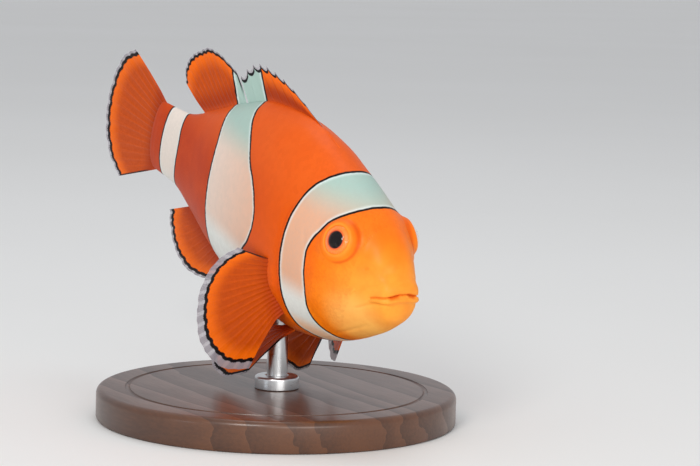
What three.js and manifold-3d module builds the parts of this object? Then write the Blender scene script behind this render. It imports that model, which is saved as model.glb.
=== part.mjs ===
// A clownfish, life size, swimming nose-down above a small round display base.
// Millimetres, +Z up. The origin is the centre of the base's underside and the fish faces +X.
// The fish is drawn in a frame of its own: the snout's tip at the origin, +X ahead, +Y to its left, +Z up.
import * as THREE from 'three';
import { mergeVertices } from 'three/addons/utils/BufferGeometryUtils.js';
import Module from 'manifold-3d';

const wasm = await Module();
wasm.setup();

// Driving dimensions of the fish
const STANDARD_LENGTH = 68; // snout to the end of the tail stalk, without the tail fin
const NOSE_DOWN = THREE.MathUtils.degToRad(14);
const GAP = 0.3; // clearance between neighbouring solids
const BODY_CUTS = 12; // facets along each side of the body's cube grid

// Driving dimensions of the stand
const BASE_RADIUS = 26;
const BASE_THICKNESS = 4.5;
const BASE_CHAMFER = 0.8;
const ROD_RADIUS = 1.5;
const ROD_DEPTH_IN_BASE = 3;
const ROD_DEPTH_IN_BELLY = 3.5;
const BELLY_CLEARANCE = 10.8; // top of the base to the belly, where the rod meets it
const ROD_AT = 0.42; // where the rod meets the belly, as a share of the standard length

// Body profile: heights and half-widths as shares of the standard length, by distance from the snout.
// Back and belly are measured up from the body's axis, which passes through the front of the mouth.
const WIDEST_LEVEL = -0.01;
const STATIONS = [
  { at: 0.00, back: -0.010, belly: -0.010, side: 0.000 }, // tip of the snout
  { at: 0.01, back: 0.0234, belly: -0.0576, side: 0.0388 }, // lips
  { at: 0.03, back: 0.0550, belly: -0.0818, side: 0.0486 }, // mouth corners and chin
  { at: 0.07, back: 0.1019, belly: -0.1120, side: 0.0690 }, // snout
  { at: 0.12, back: 0.1354, belly: -0.1425, side: 0.0968 }, // eyes
  { at: 0.18, back: 0.1595, belly: -0.1705, side: 0.1109 }, // cheeks
  { at: 0.25, back: 0.1874, belly: -0.1912, side: 0.1153 }, // gill covers
  { at: 0.33, back: 0.2150, belly: -0.2037, side: 0.1147 }, // first dorsal spine
  { at: 0.43, back: 0.2290, belly: -0.2060, side: 0.1074 }, // deepest part
  { at: 0.55, back: 0.2190, belly: -0.1920, side: 0.0910 }, // middle of the body
  { at: 0.68, back: 0.1750, belly: -0.1570, side: 0.0700 }, // notch of the dorsal fin
  { at: 0.80, back: 0.1210, belly: -0.1130, side: 0.0460 }, // rear end of the dorsal fin
  { at: 0.90, back: 0.0880, belly: -0.0830, side: 0.0300 }, // tail stalk
  { at: 1.00, back: 0.0820, belly: -0.0800, side: 0.0180 }, // root of the tail fin
];
const STALK_END = 1.03; // the stalk's rounded end, inside the root of the tail fin

// Eyes: flattened balls in low mounds of the head, looking outwards and a little ahead and up.
// This is the left eye, and the right one is its mirror image.
const EYE_APEX = new THREE.Vector3(-8.7, 7.0, 5.25);
const EYE_AXIS = new THREE.Vector3(0.22, 0.92, 0.32).normalize();
const EYE_RADIUS = 2.45;
const EYE_HALF_DEPTH = 2;
const MOUND_HEIGHT = 0.6;
const MOUND_INNER_RADIUS = 2.4;
const MOUND_OUTER_RADIUS = 4.1;

// A smooth curve through the given heights that never overshoots them
function smoothCurve(places, heights) {
  const last = places.length - 1;
  const slopes = [];
  for (let i = 0; i < last; i += 1) {
    slopes.push((heights[i + 1] - heights[i]) / (places[i + 1] - places[i]));
  }
  const tangents = heights.map((_, i) => {
    if (i === 0) return slopes[0];
    if (i === last) return slopes[last - 1];
    const before = slopes[i - 1];
    const after = slopes[i];
    return before * after <= 0 ? 0 : (2 * before * after) / (before + after);
  });
  return (place) => {
    let i = 0;
    while (i < last - 1 && place > places[i + 1]) i += 1;
    const run = places[i + 1] - places[i];
    const s = THREE.MathUtils.clamp((place - places[i]) / run, 0, 1);
    const rise = s * s * (3 - 2 * s);
    const bulge = run * s * (1 - s) * (tangents[i] * (1 - s) - tangents[i + 1] * s);
    return heights[i] * (1 - rise) + heights[i + 1] * rise + bulge;
  };
}

// Distances are spaced by their square root, which rounds the snout
const roots = STATIONS.map((station) => Math.sqrt(station.at));
const profile = {
  back: smoothCurve(roots, STATIONS.map((station) => station.back)),
  belly: smoothCurve(roots, STATIONS.map((station) => station.belly)),
  side: smoothCurve(roots, STATIONS.map((station) => station.side)),
};

// A point of the body's surface, grown outwards by a margin in mm
function bodyPoint(at, angle, grow = 0) {
  const root = Math.sqrt(Math.min(at, 1));
  const past = Math.max(at - 1, 0) / (STALK_END - 1);
  const taper = Math.sqrt(1 - Math.min(past, 1) ** 2);
  const level = WIDEST_LEVEL * STANDARD_LENGTH;
  const edge = Math.sin(angle) > 0 ? profile.back(root) : profile.belly(root);
  const height = Math.abs(edge - WIDEST_LEVEL) * STANDARD_LENGTH * taper + grow;
  const width = profile.side(root) * STANDARD_LENGTH * taper + grow;
  const ahead = grow * Math.cos(Math.PI * Math.min(at / STALK_END, 1));
  const point = new THREE.Vector3(
    -at * STANDARD_LENGTH + ahead,
    width * Math.cos(angle),
    level + height * Math.sin(angle),
  );
  return raisedRoundEye(point);
}

// The low mound of the head round each eye
function raisedRoundEye(point) {
  const side = point.y < 0 ? -1 : 1;
  const axis = EYE_AXIS.clone().setY(side * EYE_AXIS.y);
  const centre = eyeCentre(side);
  const offset = point.clone().sub(centre);
  const along = offset.dot(axis);
  const radius = offset.addScaledVector(axis, -along).length();
  const share = 1 - THREE.MathUtils.smoothstep(radius, MOUND_INNER_RADIUS, MOUND_OUTER_RADIUS);
  return along > 0 ? point.addScaledVector(axis, MOUND_HEIGHT * share) : point;
}

function eyeCentre(side) {
  const centre = EYE_APEX.clone().addScaledVector(EYE_AXIS, -EYE_HALF_DEPTH);
  return centre.setY(side * centre.y);
}

// Solids and geometries
function solidOf(geometry) {
  const bare = geometry.clone();
  bare.deleteAttribute('normal');
  bare.deleteAttribute('uv');
  const merged = mergeVertices(bare, 1e-5);
  return new wasm.Manifold(new wasm.Mesh({
    numProp: 3,
    vertProperties: new Float32Array(merged.attributes.position.array),
    triVerts: new Uint32Array(merged.index.array),
  }));
}

function geometryOf(solid) {
  const mesh = solid.getMesh();
  const geometry = new THREE.BufferGeometry();
  geometry.setAttribute('position', new THREE.BufferAttribute(mesh.vertProperties, 3));
  geometry.setIndex(new THREE.BufferAttribute(mesh.triVerts, 1));
  geometry.computeVertexNormals();
  return geometry;
}

// The body is a cube grid blown up to a ball, whose X direction becomes the way along the fish
function bodySolid(grow, cuts) {
  const grid = new THREE.BoxGeometry(2, 2, 2, cuts, cuts, cuts);
  const places = grid.attributes.position;
  const way = new THREE.Vector3();
  for (let i = 0; i < places.count; i += 1) {
    way.fromBufferAttribute(places, i);
    way.set(...way.toArray().map((side) => Math.tan((side * Math.PI) / 4))).normalize();
    const at = (STALK_END * (1 - way.x)) / 2;
    const point = bodyPoint(at, Math.atan2(way.z, way.y), grow);
    if (Math.abs(way.x) > 1 - 1e-9) point.setY(0).setZ(WIDEST_LEVEL * STANDARD_LENGTH);
    places.setXYZ(i, point.x, point.y, point.z);
  }
  return solidOf(grid);
}

// A block with the given side outline, [x, z] in mm, from y = near to y = far
function block(outline, near, far) {
  const shape = new THREE.Shape(outline.map(([x, z]) => new THREE.Vector2(x, z)));
  const geometry = new THREE.ExtrudeGeometry(shape, { depth: far - near, bevelEnabled: false });
  geometry.rotateX(Math.PI / 2);
  geometry.translate(0, far, 0);
  return solidOf(geometry);
}

// Points along a smooth line through a few [x, z] places
function sweepLine(places, steps, shift = 0) {
  const line = new THREE.SplineCurve(places.map(([x, z]) => new THREE.Vector2(x + shift, z)));
  return line.getPoints(steps).map((point) => [point.x, point.y]);
}

// The gill opening: down behind the gill cover, then forward under the throat
const GILL_OPENING = [
  [-14, 20],
  [-16.5, 11],
  [-19.4, 4],
  [-19.9, -1],
  [-18.4, -6.5],
  [-14, -10.4],
  [-9, -14],
  [-7, -20],
];
// The front edge of the gill cover
const CHEEK_LINE = [[-16.4, 6.2], [-14.4, 3.6], [-13.7, -1], [-12.6, -5.2], [-9.6, -8.6], [-6, -11]];
const COVER_THICKNESS = 1.6;
// The mouth slit, its corner, and the rear edge of the lower jaw
const JAW_EDGE = [[3, 0], [-0.9, 0], [-3.0, -1.0], [-5.2, -2.8], [-7.2, -5.6], [-8.0, -9], [-7.6, -14]];
const STALK_AT = 0.835; // cut between trunk and tail stalk, behind the dorsal and anal fins
const FAR = 40; // beyond the fish on every side

const HALF_GAP = GAP / 2;
const body = bodySolid(0, BODY_CUTS);
const grownBody = bodySolid(GAP, BODY_CUTS);

function aheadOfGills(shift) {
  return block([[FAR, 20], ...sweepLine(GILL_OPENING, 28, shift), [FAR, -20]], -FAR, FAR);
}

function gillCoverBlock(grow, side) {
  const front = sweepLine(CHEEK_LINE, 20, grow);
  const outline = [...front, [-30, front.at(-1)[1]], [-30, front[0][1] + grow]];
  return block(outline, side > 0 ? 0.5 : -FAR, side > 0 ? FAR : -0.5);
}

function lowerJawBlock(grow) {
  const edge = JAW_EDGE.map(([x, z]) => [x - grow, z + grow]);
  return block([...edge, [FAR, edge.at(-1)[1]], [FAR, edge[0][1]]], -FAR, FAR);
}

// An eye, or its socket when it is grown by the gap
function eyeBall(side, grow) {
  const ball = new THREE.SphereGeometry(1, 16, 10);
  ball.scale(EYE_RADIUS + grow, EYE_HALF_DEPTH + grow, EYE_RADIUS + grow);
  const axis = EYE_AXIS.clone().setY(side * EYE_AXIS.y);
  const turn = new THREE.Quaternion().setFromUnitVectors(new THREE.Vector3(0, side, 0), axis);
  ball.applyQuaternion(turn);
  return ball.translate(...eyeCentre(side));
}

// The head, from the snout to the gill openings, without jaw, gill covers and eyes
const SIDES = { left: 1, right: -1 };
const wholeHead = body.intersect(aheadOfGills(HALF_GAP));
const innerBody = bodySolid(-COVER_THICKNESS, BODY_CUTS);
const innerHead = bodySolid(-COVER_THICKNESS - GAP, BODY_CUTS);
const flesh = { lower_jaw: wholeHead.intersect(lowerJawBlock(-HALF_GAP)) };
flesh.head = wholeHead.subtract(lowerJawBlock(HALF_GAP));
for (const [name, side] of Object.entries(SIDES)) {
  const cover = wholeHead.intersect(gillCoverBlock(0, side)).subtract(innerBody);
  flesh[`gill_cover_${name}`] = cover;
  flesh.head = flesh.head.subtract(gillCoverBlock(GAP, side).subtract(innerHead));
  flesh.head = flesh.head.subtract(solidOf(eyeBall(side, GAP)));
}

// The trunk and the tail stalk
const behindGills = body.subtract(aheadOfGills(-HALF_GAP));
const stalkCut = -STALK_AT * STANDARD_LENGTH;
const stalkBlock = (shift) => block([
  [-2 * FAR, -FAR],
  [stalkCut + shift, -FAR],
  [stalkCut + shift, FAR],
  [-2 * FAR, FAR],
], -FAR, FAR);
flesh.trunk = behindGills.subtract(stalkBlock(HALF_GAP));
flesh.tail_stalk = behindGills.intersect(stalkBlock(-HALF_GAP));

// Fins are thin sheets, thickest at the root. u runs along the root and v out along the rays.
const ROOT_THICKNESS = 1.0;
const MARGIN_THICKNESS = 0.55;
const ROOT_DEPTH = 1.5; // how far a ray starts under the skin

function finSheet(point, rays, steps) {
  const grid = new THREE.BoxGeometry(1, 1, 1, rays, steps, 1);
  const places = grid.attributes.position;
  const small = 1e-3;
  for (let i = 0; i < places.count; i += 1) {
    const u = places.getX(i) + 0.5;
    const v = places.getY(i) + 0.5;
    const side = Math.sign(places.getZ(i));
    const centre = point(u, v);
    const along = point(u + small, v).sub(point(u - small, v));
    const out = point(u, v + small).sub(point(u, v - small));
    const thickness = THREE.MathUtils.lerp(ROOT_THICKNESS, MARGIN_THICKNESS, v);
    centre.addScaledVector(along.cross(out).normalize(), (side * thickness) / 2);
    places.setXYZ(i, centre.x, centre.y, centre.z);
  }
  const sheet = solidOf(grid);
  return sheet.volume() > 0 ? sheet : solidOf(flipped(grid));
}

function flipped(geometry) {
  const copy = geometry.clone();
  const corners = copy.index.array;
  for (let i = 0; i < corners.length; i += 3) [corners[i], corners[i + 1]] = [corners[i + 1], corners[i]];
  return copy;
}

const evenly = (values) => smoothCurve(values.map((_, i) => i / (values.length - 1)), values);
const degrees = THREE.MathUtils.degToRad;

// A fin on the fish's midline. Rays lean back from upright by an angle, and `up` is -1 under the belly.
function medianFin({ from, to, up, lean, reach, rays }) {
  const length = evenly(reach);
  return finSheet((u, v) => {
    const root = bodyPoint(THREE.MathUtils.lerp(from, to, u), (up * Math.PI) / 2);
    const angle = degrees(THREE.MathUtils.lerp(...lean, u));
    const out = (length(u) + ROOT_DEPTH) * v - ROOT_DEPTH;
    return root.add(new THREE.Vector3(-Math.sin(angle) * out, 0, up * Math.cos(angle) * out));
  }, rays, 5);
}

// A fin of a pair. Its rays run back, swung outwards and dropped by the given angles, and bow inwards.
function pairedFin({ first, last, swing, drop, reach, bow, rays, side }) {
  const length = evenly(reach);
  const start = new THREE.Vector3(first[0], side * first[1], first[2]);
  const end = new THREE.Vector3(last[0], side * last[1], last[2]);
  return finSheet((u, v) => {
    const out = (length(u) + ROOT_DEPTH) * v - ROOT_DEPTH;
    const turn = degrees(THREE.MathUtils.lerp(...swing, u));
    const fall = degrees(THREE.MathUtils.lerp(...drop, u));
    const ray = new THREE.Vector3(
      -Math.cos(turn) * Math.cos(fall),
      side * Math.sin(turn) * Math.cos(fall),
      -Math.sin(fall),
    );
    const point = start.clone().lerp(end, u).addScaledVector(ray, out);
    point.y -= side * bow * Math.max(v, 0) ** 2;
    return point;
  }, rays, 5);
}

// The rounded tail fin fans out from the end of the stalk
function tailFin({ root, spread, reach, rays }) {
  const length = evenly(reach);
  return finSheet((u, v) => {
    const across = 2 * u - 1;
    const angle = degrees(spread) * across;
    const out = length(u) * v;
    return new THREE.Vector3(
      -root.at * STANDARD_LENGTH - Math.cos(angle) * out,
      0,
      root.level + root.halfHeight * across + Math.sin(angle) * out,
    );
  }, rays, 6);
}

const fins = {
  dorsal_fin_spiny: medianFin({
    from: 0.32, to: 0.655, up: 1, lean: [72, 46], reach: [2.0, 5.0, 6.8, 7.4, 6.6, 4.7], rays: 16,
  }),
  dorsal_fin_soft: medianFin({
    from: 0.665, to: 0.825, up: 1, lean: [46, 68], reach: [5.6, 9.2, 11.2, 11.4, 10.2, 7.4], rays: 13,
  }),
  anal_fin: medianFin({
    from: 0.63, to: 0.82, up: -1, lean: [36, 66], reach: [3.4, 8.0, 10.0, 10.4, 9.4, 6.8], rays: 13,
  }),
  tail_fin: tailFin({
    root: { at: 0.975, level: 0.1, halfHeight: 4.9 },
    spread: 24,
    reach: [13.8, 17.2, 18.6, 18.9, 18.6, 17.2, 13.8],
    rays: 18,
  }),
};
for (const [name, side] of Object.entries(SIDES)) {
  fins[`pectoral_fin_${name}`] = pairedFin({
    first: [-20.9, 7.6, -2.4],
    last: [-19.2, 5.9, -9.2],
    swing: [16, 34],
    drop: [7, 66],
    reach: [8.0, 13.2, 16.2, 17.2, 15.8, 11.5],
    bow: 1.2,
    rays: 14,
    side,
  });
  fins[`pelvic_fin_${name}`] = pairedFin({
    first: [-20.6, 3.1, -13.0],
    last: [-23.6, 2.3, -13.7],
    swing: [24, 10],
    drop: [54, 22],
    reach: [11.0, 15.5, 16.5, 14.5, 10.0],
    bow: 0.4,
    rays: 10,
    side,
  });
}

// The fish's pose above the base, and the rod's socket in the belly
const support = bodyPoint(ROD_AT, -Math.PI / 2);
const pose = new THREE.Matrix4().makeRotationY(NOSE_DOWN);
const turnedSupport = support.clone().applyMatrix4(pose);
pose.setPosition(-turnedSupport.x, 0, BASE_THICKNESS + BELLY_CLEARANCE - turnedSupport.z);
const bellyHeight = BASE_THICKNESS + BELLY_CLEARANCE;
const rodBottom = BASE_THICKNESS - ROD_DEPTH_IN_BASE;
const rodTop = bellyHeight + ROD_DEPTH_IN_BELLY;

function uprightCylinder(radius, bottom, top) {
  const cylinder = new THREE.CylinderGeometry(radius, radius, top - bottom, 24);
  cylinder.rotateX(Math.PI / 2);
  cylinder.translate(0, 0, (top + bottom) / 2);
  return cylinder;
}

const socket = uprightCylinder(ROD_RADIUS + GAP, rodBottom, rodTop + GAP);
socket.applyMatrix4(pose.clone().invert());
flesh.trunk = flesh.trunk.subtract(solidOf(socket));

// The scene: the fish in its pose, and the stand
const looks = {
  head: { color: 0xf58a1e, roughness: 0.45 },
  body: { color: 0xe8641a, roughness: 0.45 },
  fin: { color: 0xe06a1c, roughness: 0.5 },
  eye: { color: 0x15110e, roughness: 0.08 },
  wood: { color: 0x4a2d1b, roughness: 0.4 },
  steel: { color: 0xb8bcc0, roughness: 0.28, metalness: 1 },
};

function node(name, geometry, look) {
  const mesh = new THREE.Mesh(geometry, new THREE.MeshStandardMaterial(looks[look]));
  mesh.name = name;
  return mesh;
}

const fish = new THREE.Group();
const HEAD_PIECES = ['head', 'lower_jaw', 'gill_cover_left', 'gill_cover_right'];
for (const [name, solid] of Object.entries(flesh)) {
  fish.add(node(name, geometryOf(solid), HEAD_PIECES.includes(name) ? 'head' : 'body'));
}
for (const [name, sheet] of Object.entries(fins)) {
  fish.add(node(name, geometryOf(sheet.subtract(grownBody)), 'fin'));
}
for (const [name, side] of Object.entries(SIDES)) {
  fish.add(node(`eye_${name}`, eyeBall(side, 0), 'eye'));
}
fish.applyMatrix4(pose);

// The base is a turned disc with a chamfered rim and a blind hole for the rod
const hole = ROD_RADIUS + GAP;
const baseProfile = [
  [0, 0],
  [BASE_RADIUS, 0],
  [BASE_RADIUS, BASE_THICKNESS - BASE_CHAMFER],
  [BASE_RADIUS - BASE_CHAMFER, BASE_THICKNESS],
  [hole, BASE_THICKNESS],
  [hole, rodBottom - GAP],
  [0, rodBottom - GAP],
];
// The collar is a small steel ring round the foot of the rod
const COLLAR_RADIUS = 3.2;
const COLLAR_HEIGHT = 1.6;
const COLLAR_CHAMFER = 0.5;
const collarFoot = BASE_THICKNESS + GAP;
const collarProfile = [
  [hole, collarFoot],
  [COLLAR_RADIUS, collarFoot],
  [COLLAR_RADIUS, collarFoot + COLLAR_HEIGHT - COLLAR_CHAMFER],
  [COLLAR_RADIUS - COLLAR_CHAMFER, collarFoot + COLLAR_HEIGHT],
  [hole, collarFoot + COLLAR_HEIGHT],
  [hole, collarFoot],
];

function turned(outline, segments) {
  const lathe = new THREE.LatheGeometry(outline.map(([r, z]) => new THREE.Vector2(r, z)), segments);
  lathe.rotateX(Math.PI / 2);
  return geometryOf(solidOf(lathe));
}

const model = new THREE.Group();
model.add(fish);
model.add(node('stand_base', turned(baseProfile, 40), 'wood'));
model.add(node('stand_collar', turned(collarProfile, 24), 'steel'));
model.add(node('stand_rod', uprightCylinder(ROD_RADIUS, rodBottom, rodTop), 'steel'));

export default model;
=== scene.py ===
# A life-size model of a clownfish on a small turned display base.
# Blender works in metres; the fish is drawn in mm in a frame of its own, snout tip at the
# origin, +X ahead, +Y to its left and +Z up, and is then put in its nose-down pose.
import math

import bmesh
import bpy
import numpy as np
from mathutils import Matrix, Vector


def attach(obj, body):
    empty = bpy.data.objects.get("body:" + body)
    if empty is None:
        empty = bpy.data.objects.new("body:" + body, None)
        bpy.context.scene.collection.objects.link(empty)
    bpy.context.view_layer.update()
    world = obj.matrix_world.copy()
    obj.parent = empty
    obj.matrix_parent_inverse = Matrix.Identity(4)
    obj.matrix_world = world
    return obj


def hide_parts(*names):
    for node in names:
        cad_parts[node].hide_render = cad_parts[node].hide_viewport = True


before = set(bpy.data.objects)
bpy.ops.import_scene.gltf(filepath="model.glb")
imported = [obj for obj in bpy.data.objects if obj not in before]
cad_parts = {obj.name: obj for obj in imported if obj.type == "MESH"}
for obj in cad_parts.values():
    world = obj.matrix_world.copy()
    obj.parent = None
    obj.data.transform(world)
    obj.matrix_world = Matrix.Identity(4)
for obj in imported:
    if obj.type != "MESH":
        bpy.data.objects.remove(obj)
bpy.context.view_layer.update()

# ----------------------------------------
# The base: a disc of dark hardwood, turned on a lathe with a rounded rim and one fine groove,
# bored from above for the rod, and finished with thin satin lacquer.
# ----------------------------------------


class Socket:
    """An output of a node. Arithmetic on it adds Math nodes."""

    def __init__(self, net, output):
        self.net = net
        self.output = output

    def __getitem__(self, name):
        return Socket(self.net, self.output.node.outputs[name])

    def __add__(self, other):
        return self.net.maths("ADD", self, other)

    def __sub__(self, other):
        return self.net.maths("SUBTRACT", self, other)

    def __rsub__(self, other):
        return self.net.maths("SUBTRACT", other, self)

    def __mul__(self, other):
        return self.net.maths("MULTIPLY", self, other)

    def __truediv__(self, other):
        return self.net.maths("DIVIDE", self, other)

    def __pow__(self, other):
        return self.net.maths("POWER", self, other)

    def __neg__(self):
        return self * -1.0

    __radd__ = __add__
    __rmul__ = __mul__


class Net:
    """A tree of nodes being wired."""

    def __init__(self, tree):
        self.tree = tree
        tree.nodes.clear()

    def node(self, kind, settings, sockets):
        """Adds a node, sets its settings and then its sockets, and returns its first output."""
        node = self.tree.nodes.new(kind)
        for name, value in settings.items():
            if name == "stops":
                self.set_stops(node.color_ramp, value)
            elif name == "points":
                self.set_points(node.mapping, value)
            else:
                setattr(node, name, value)
        live = {socket.name: socket for socket in reversed(node.inputs) if socket.enabled}
        for name, value in sockets.items():
            socket = node.inputs[name] if isinstance(name, int) else live[name]
            if isinstance(value, Socket):
                self.tree.links.new(value.output, socket)
            else:
                socket.default_value = value
        outputs = [output for output in node.outputs if output.enabled]
        return Socket(self, outputs[0]) if outputs else None

    def maths(self, operation, *values):
        return self.node("ShaderNodeMath", {"operation": operation}, dict(enumerate(values)))

    def vectors(self, operation, *values):
        return self.node("ShaderNodeVectorMath", {"operation": operation}, dict(enumerate(values)))

    @staticmethod
    def set_stops(ramp, stops):
        for place, colour in stops[2:]:
            ramp.elements.new(place)
        for element, (place, colour) in zip(ramp.elements, sorted(stops)):
            element.position = place
            element.color = colour

    @staticmethod
    def set_points(mapping, points):
        curve = mapping.curves[0]
        for point in points[2:]:
            curve.points.new(*point)
        for held, point in zip(curve.points, sorted(points)):
            held.location = point
        mapping.extend = "HORIZONTAL"
        mapping.update()


class Finish(Net):
    """A finish being made up: a material and its nodes."""

    def __init__(self, name):
        self.material = bpy.data.materials.new(name)
        self.material.use_nodes = True
        super().__init__(self.material.node_tree)

    def least(self, first, second):
        return self.maths("MINIMUM", first, second)

    def most(self, first, second):
        return self.maths("MAXIMUM", first, second)

    def rise(self, value, low, high):
        """0 where value is at low, 1 at high, and smooth between them."""
        sockets = {"Value": value, "From Min": low, "From Max": high}
        return self.node("ShaderNodeMapRange", {"interpolation_type": "SMOOTHSTEP"}, sockets)

    def mix(self, share, first, second):
        """The first colour where share is 0, and the second where it is 1."""
        sockets = {"Factor": share, "A": first, "B": second}
        return self.node("ShaderNodeMix", {"data_type": "RGBA"}, sockets)

    def laid_over(self, colour, *coats):
        """A colour with others laid over it, each with the share that it covers."""
        for share, over in coats:
            colour = self.mix(share, colour, over)
        return colour

    def noise(self, place, scale, detail=3.0, roughness=0.5):
        sockets = {"Vector": place, "Scale": scale, "Detail": detail, "Roughness": roughness}
        return self.node("ShaderNodeTexNoise", {}, sockets)

    def along(self, value, places):
        """A smooth curve through pairs of value and result."""
        values, results = np.array(places, float).T
        low, span = values.min(), np.ptp(values)
        least, reach = results.min(), np.ptp(results)
        points = [((v - low) / span, (r - least) / reach) for v, r in places]
        share = (value - low) / span
        curve = self.node("ShaderNodeFloatCurve", {"points": sorted(points)}, {"Value": share})
        return curve * reach + least

    def place(self):
        return self.node("ShaderNodeTexCoord", {}, {})["Object"]

    def measure(self, name):
        """A value that is kept at each point of the mesh."""
        return self.node("ShaderNodeAttribute", {"attribute_name": name}, {})["Fac"]

    def bumps(self, height, strength, distance):
        sockets = {"Height": height, "Strength": strength, "Distance": distance}
        return self.node("ShaderNodeBump", {}, sockets)

    def coat(self, sockets):
        return self.node("ShaderNodeBsdfPrincipled", {}, sockets)

    def either(self, share, first, second):
        """The first shader where share is 0, and the second where it is 1."""
        return self.node("ShaderNodeMixShader", {}, {"Fac": share, 1: first, 2: second})

    def surface(self, shader):
        self.node("ShaderNodeOutputMaterial", {}, {"Surface": shader})
        return self.material


def paint(red, green, blue):
    """A screen colour, 0 to 255, as the light values a node takes."""
    parts = [part / 255 for part in (red, green, blue)]
    linear = [p / 12.92 if p <= 0.04045 else ((p + 0.055) / 1.055) ** 2.4 for p in parts]
    return (*linear, 1.0)


def piece(name, points, faces, material=None, measures=None):
    """A mesh object from places in metres, with a number or a vector kept at each point."""
    mesh = bpy.data.meshes.new(name)
    faces = faces if isinstance(faces, list) else faces.tolist()
    mesh.from_pydata(np.asarray(points).tolist(), [], faces)
    for measure, values in (measures or {}).items():
        kind, field = ("FLOAT", "value") if values.ndim == 1 else ("FLOAT_VECTOR", "vector")
        held = mesh.attributes.new(measure, kind, "POINT")
        held.data.foreach_set(field, values.ravel().astype(np.float32))
    mesh.shade_smooth()
    if material:
        mesh.materials.append(material)
    made = bpy.data.objects.new(name, mesh)
    bpy.context.scene.collection.objects.link(made)
    return made


def faced_out(made, sharp, merged=False):
    """Turns a shell's faces outwards, and shades its edges hard past an angle in degrees."""
    shell = bmesh.new()
    shell.from_mesh(made.data)
    if merged:
        bmesh.ops.remove_doubles(shell, verts=shell.verts, dist=1e-7)
        bmesh.ops.dissolve_degenerate(shell, edges=shell.edges, dist=1e-8)
    bmesh.ops.recalc_face_normals(shell, faces=shell.faces)
    shell.to_mesh(made.data)
    shell.free()
    made.data.set_sharp_from_angle(angle=math.radians(sharp))
    return made


def turned(name, outline, material, segments):
    """A shape turned round the upright axis from a closed outline of radius and height, in mm."""
    radius, height = np.array(outline, float).T / 1000
    angle = np.linspace(0, 2 * np.pi, segments, endpoint=False)
    spokes = np.stack([np.cos(angle), np.sin(angle), 0 * angle + 1], axis=-1)
    points = spokes * np.stack([radius, radius, height], axis=-1)[:, None]
    ring, spoke = np.indices((len(outline), segments))
    after, beside = (ring + 1) % len(outline), (spoke + 1) % segments
    corners = [(ring, spoke), (ring, beside), (after, beside), (after, spoke)]
    faces = np.stack([(r * segments + s).ravel() for r, s in corners], axis=-1)
    return faced_out(piece(name, points.reshape(-1, 3), faces, material), 40, merged=True)


def rounded(radius, height, size, steps):
    """The quarter circle that rounds an upper corner, from the side to the top."""
    return [
        (radius - size + size * math.sin(a), height - size + size * math.cos(a))
        for a in np.linspace(math.pi / 2, 0, steps)
    ]


def hardwood():
    finish = Finish("dark_hardwood")
    place = finish.place()
    along_grain = finish.node(
        "ShaderNodeMapping", {}, {"Vector": place, "Rotation": GRAIN_TURN, "Scale": (0.12, 1, 1)}
    )
    rings = finish.node(
        "ShaderNodeTexWave",
        {"wave_type": "BANDS", "bands_direction": "Y", "wave_profile": "SAW"},
        {"Vector": along_grain, "Scale": 62.0, "Distortion": 11.0, "Detail": 4.0, "Detail Scale": 1.4},
    )["Fac"]
    pores = finish.noise(along_grain, 2600.0, 4.0, 0.65)
    clouds = finish.noise(place, 60.0, 2.0)
    grain = finish.rise(rings * 0.35 + pores * 0.45 + clouds * 0.4, 0.2, 1.0)
    lacquered = finish.coat({
        "Base Color": finish.mix(grain, WOOD_DARK, WOOD_LIGHT),
        "Roughness": 0.46 - 0.14 * grain,
        "Normal": finish.bumps(pores * 0.6 + rings * 0.25, 0.25, 0.00008),
        "Coat Weight": 0.35,
        "Coat Roughness": 0.22,
    })
    return finish.surface(lacquered)


WOOD_DARK = paint(60, 35, 22)
WOOD_LIGHT = paint(104, 64, 39)
GRAIN_TURN = (0.05, 0, 0.35)
BASE_RADIUS = 26.0  # sizes in mm
BASE_THICKNESS = 4.5
BASE_ROUND = 0.9  # rounding of the upper rim
FOOT_CHAMFER = 0.4
GROOVE_RADIUS = 21.5
GROOVE_HALF_WIDTH = 0.35
GROOVE_DEPTH = 0.28
BORE_RADIUS = 1.8
BORE_FLOOR = 1.2
groove = [
    (GROOVE_RADIUS + GROOVE_HALF_WIDTH * math.cos(a), BASE_THICKNESS - GROOVE_DEPTH * math.sin(a))
    for a in np.linspace(0, math.pi, 9)
]
base_outline = [
    (0, 0),
    (BASE_RADIUS - FOOT_CHAMFER, 0),
    (BASE_RADIUS - 0.3 * FOOT_CHAMFER, 0.3 * FOOT_CHAMFER),
    (BASE_RADIUS, FOOT_CHAMFER),
    *rounded(BASE_RADIUS, BASE_THICKNESS, BASE_ROUND, 9),
    *groove,
    (BORE_RADIUS, BASE_THICKNESS),
    (BORE_RADIUS, BORE_FLOOR),
    (0, BORE_FLOOR),
]
stand_base = turned("base_disc", base_outline, hardwood(), 192)
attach(stand_base, "root")
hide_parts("stand_base")

# ----------------------------------------
# The rod and its collar: brushed stainless steel. The rod is ground round and goes from the
# bore in the base up into the belly; the collar slips over it and hides the edge of the bore.
# ----------------------------------------


def brushed_steel():
    finish = Finish("brushed_steel")
    place = finish.place()
    stretched = finish.node("ShaderNodeMapping", {}, {"Vector": place, "Scale": (0.06, 0.06, 1)})
    scratches = finish.noise(stretched, 9000.0, 3.0, 0.6)
    smears = finish.noise(place, 350.0, 2.0)
    bare = finish.coat({
        "Base Color": finish.mix(smears, STEEL_DARK, STEEL_LIGHT),
        "Metallic": 1.0,
        "Roughness": 0.22 + 0.16 * scratches,
        "Normal": finish.bumps(scratches, 0.2, 0.00002),
    })
    return finish.surface(bare)


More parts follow.
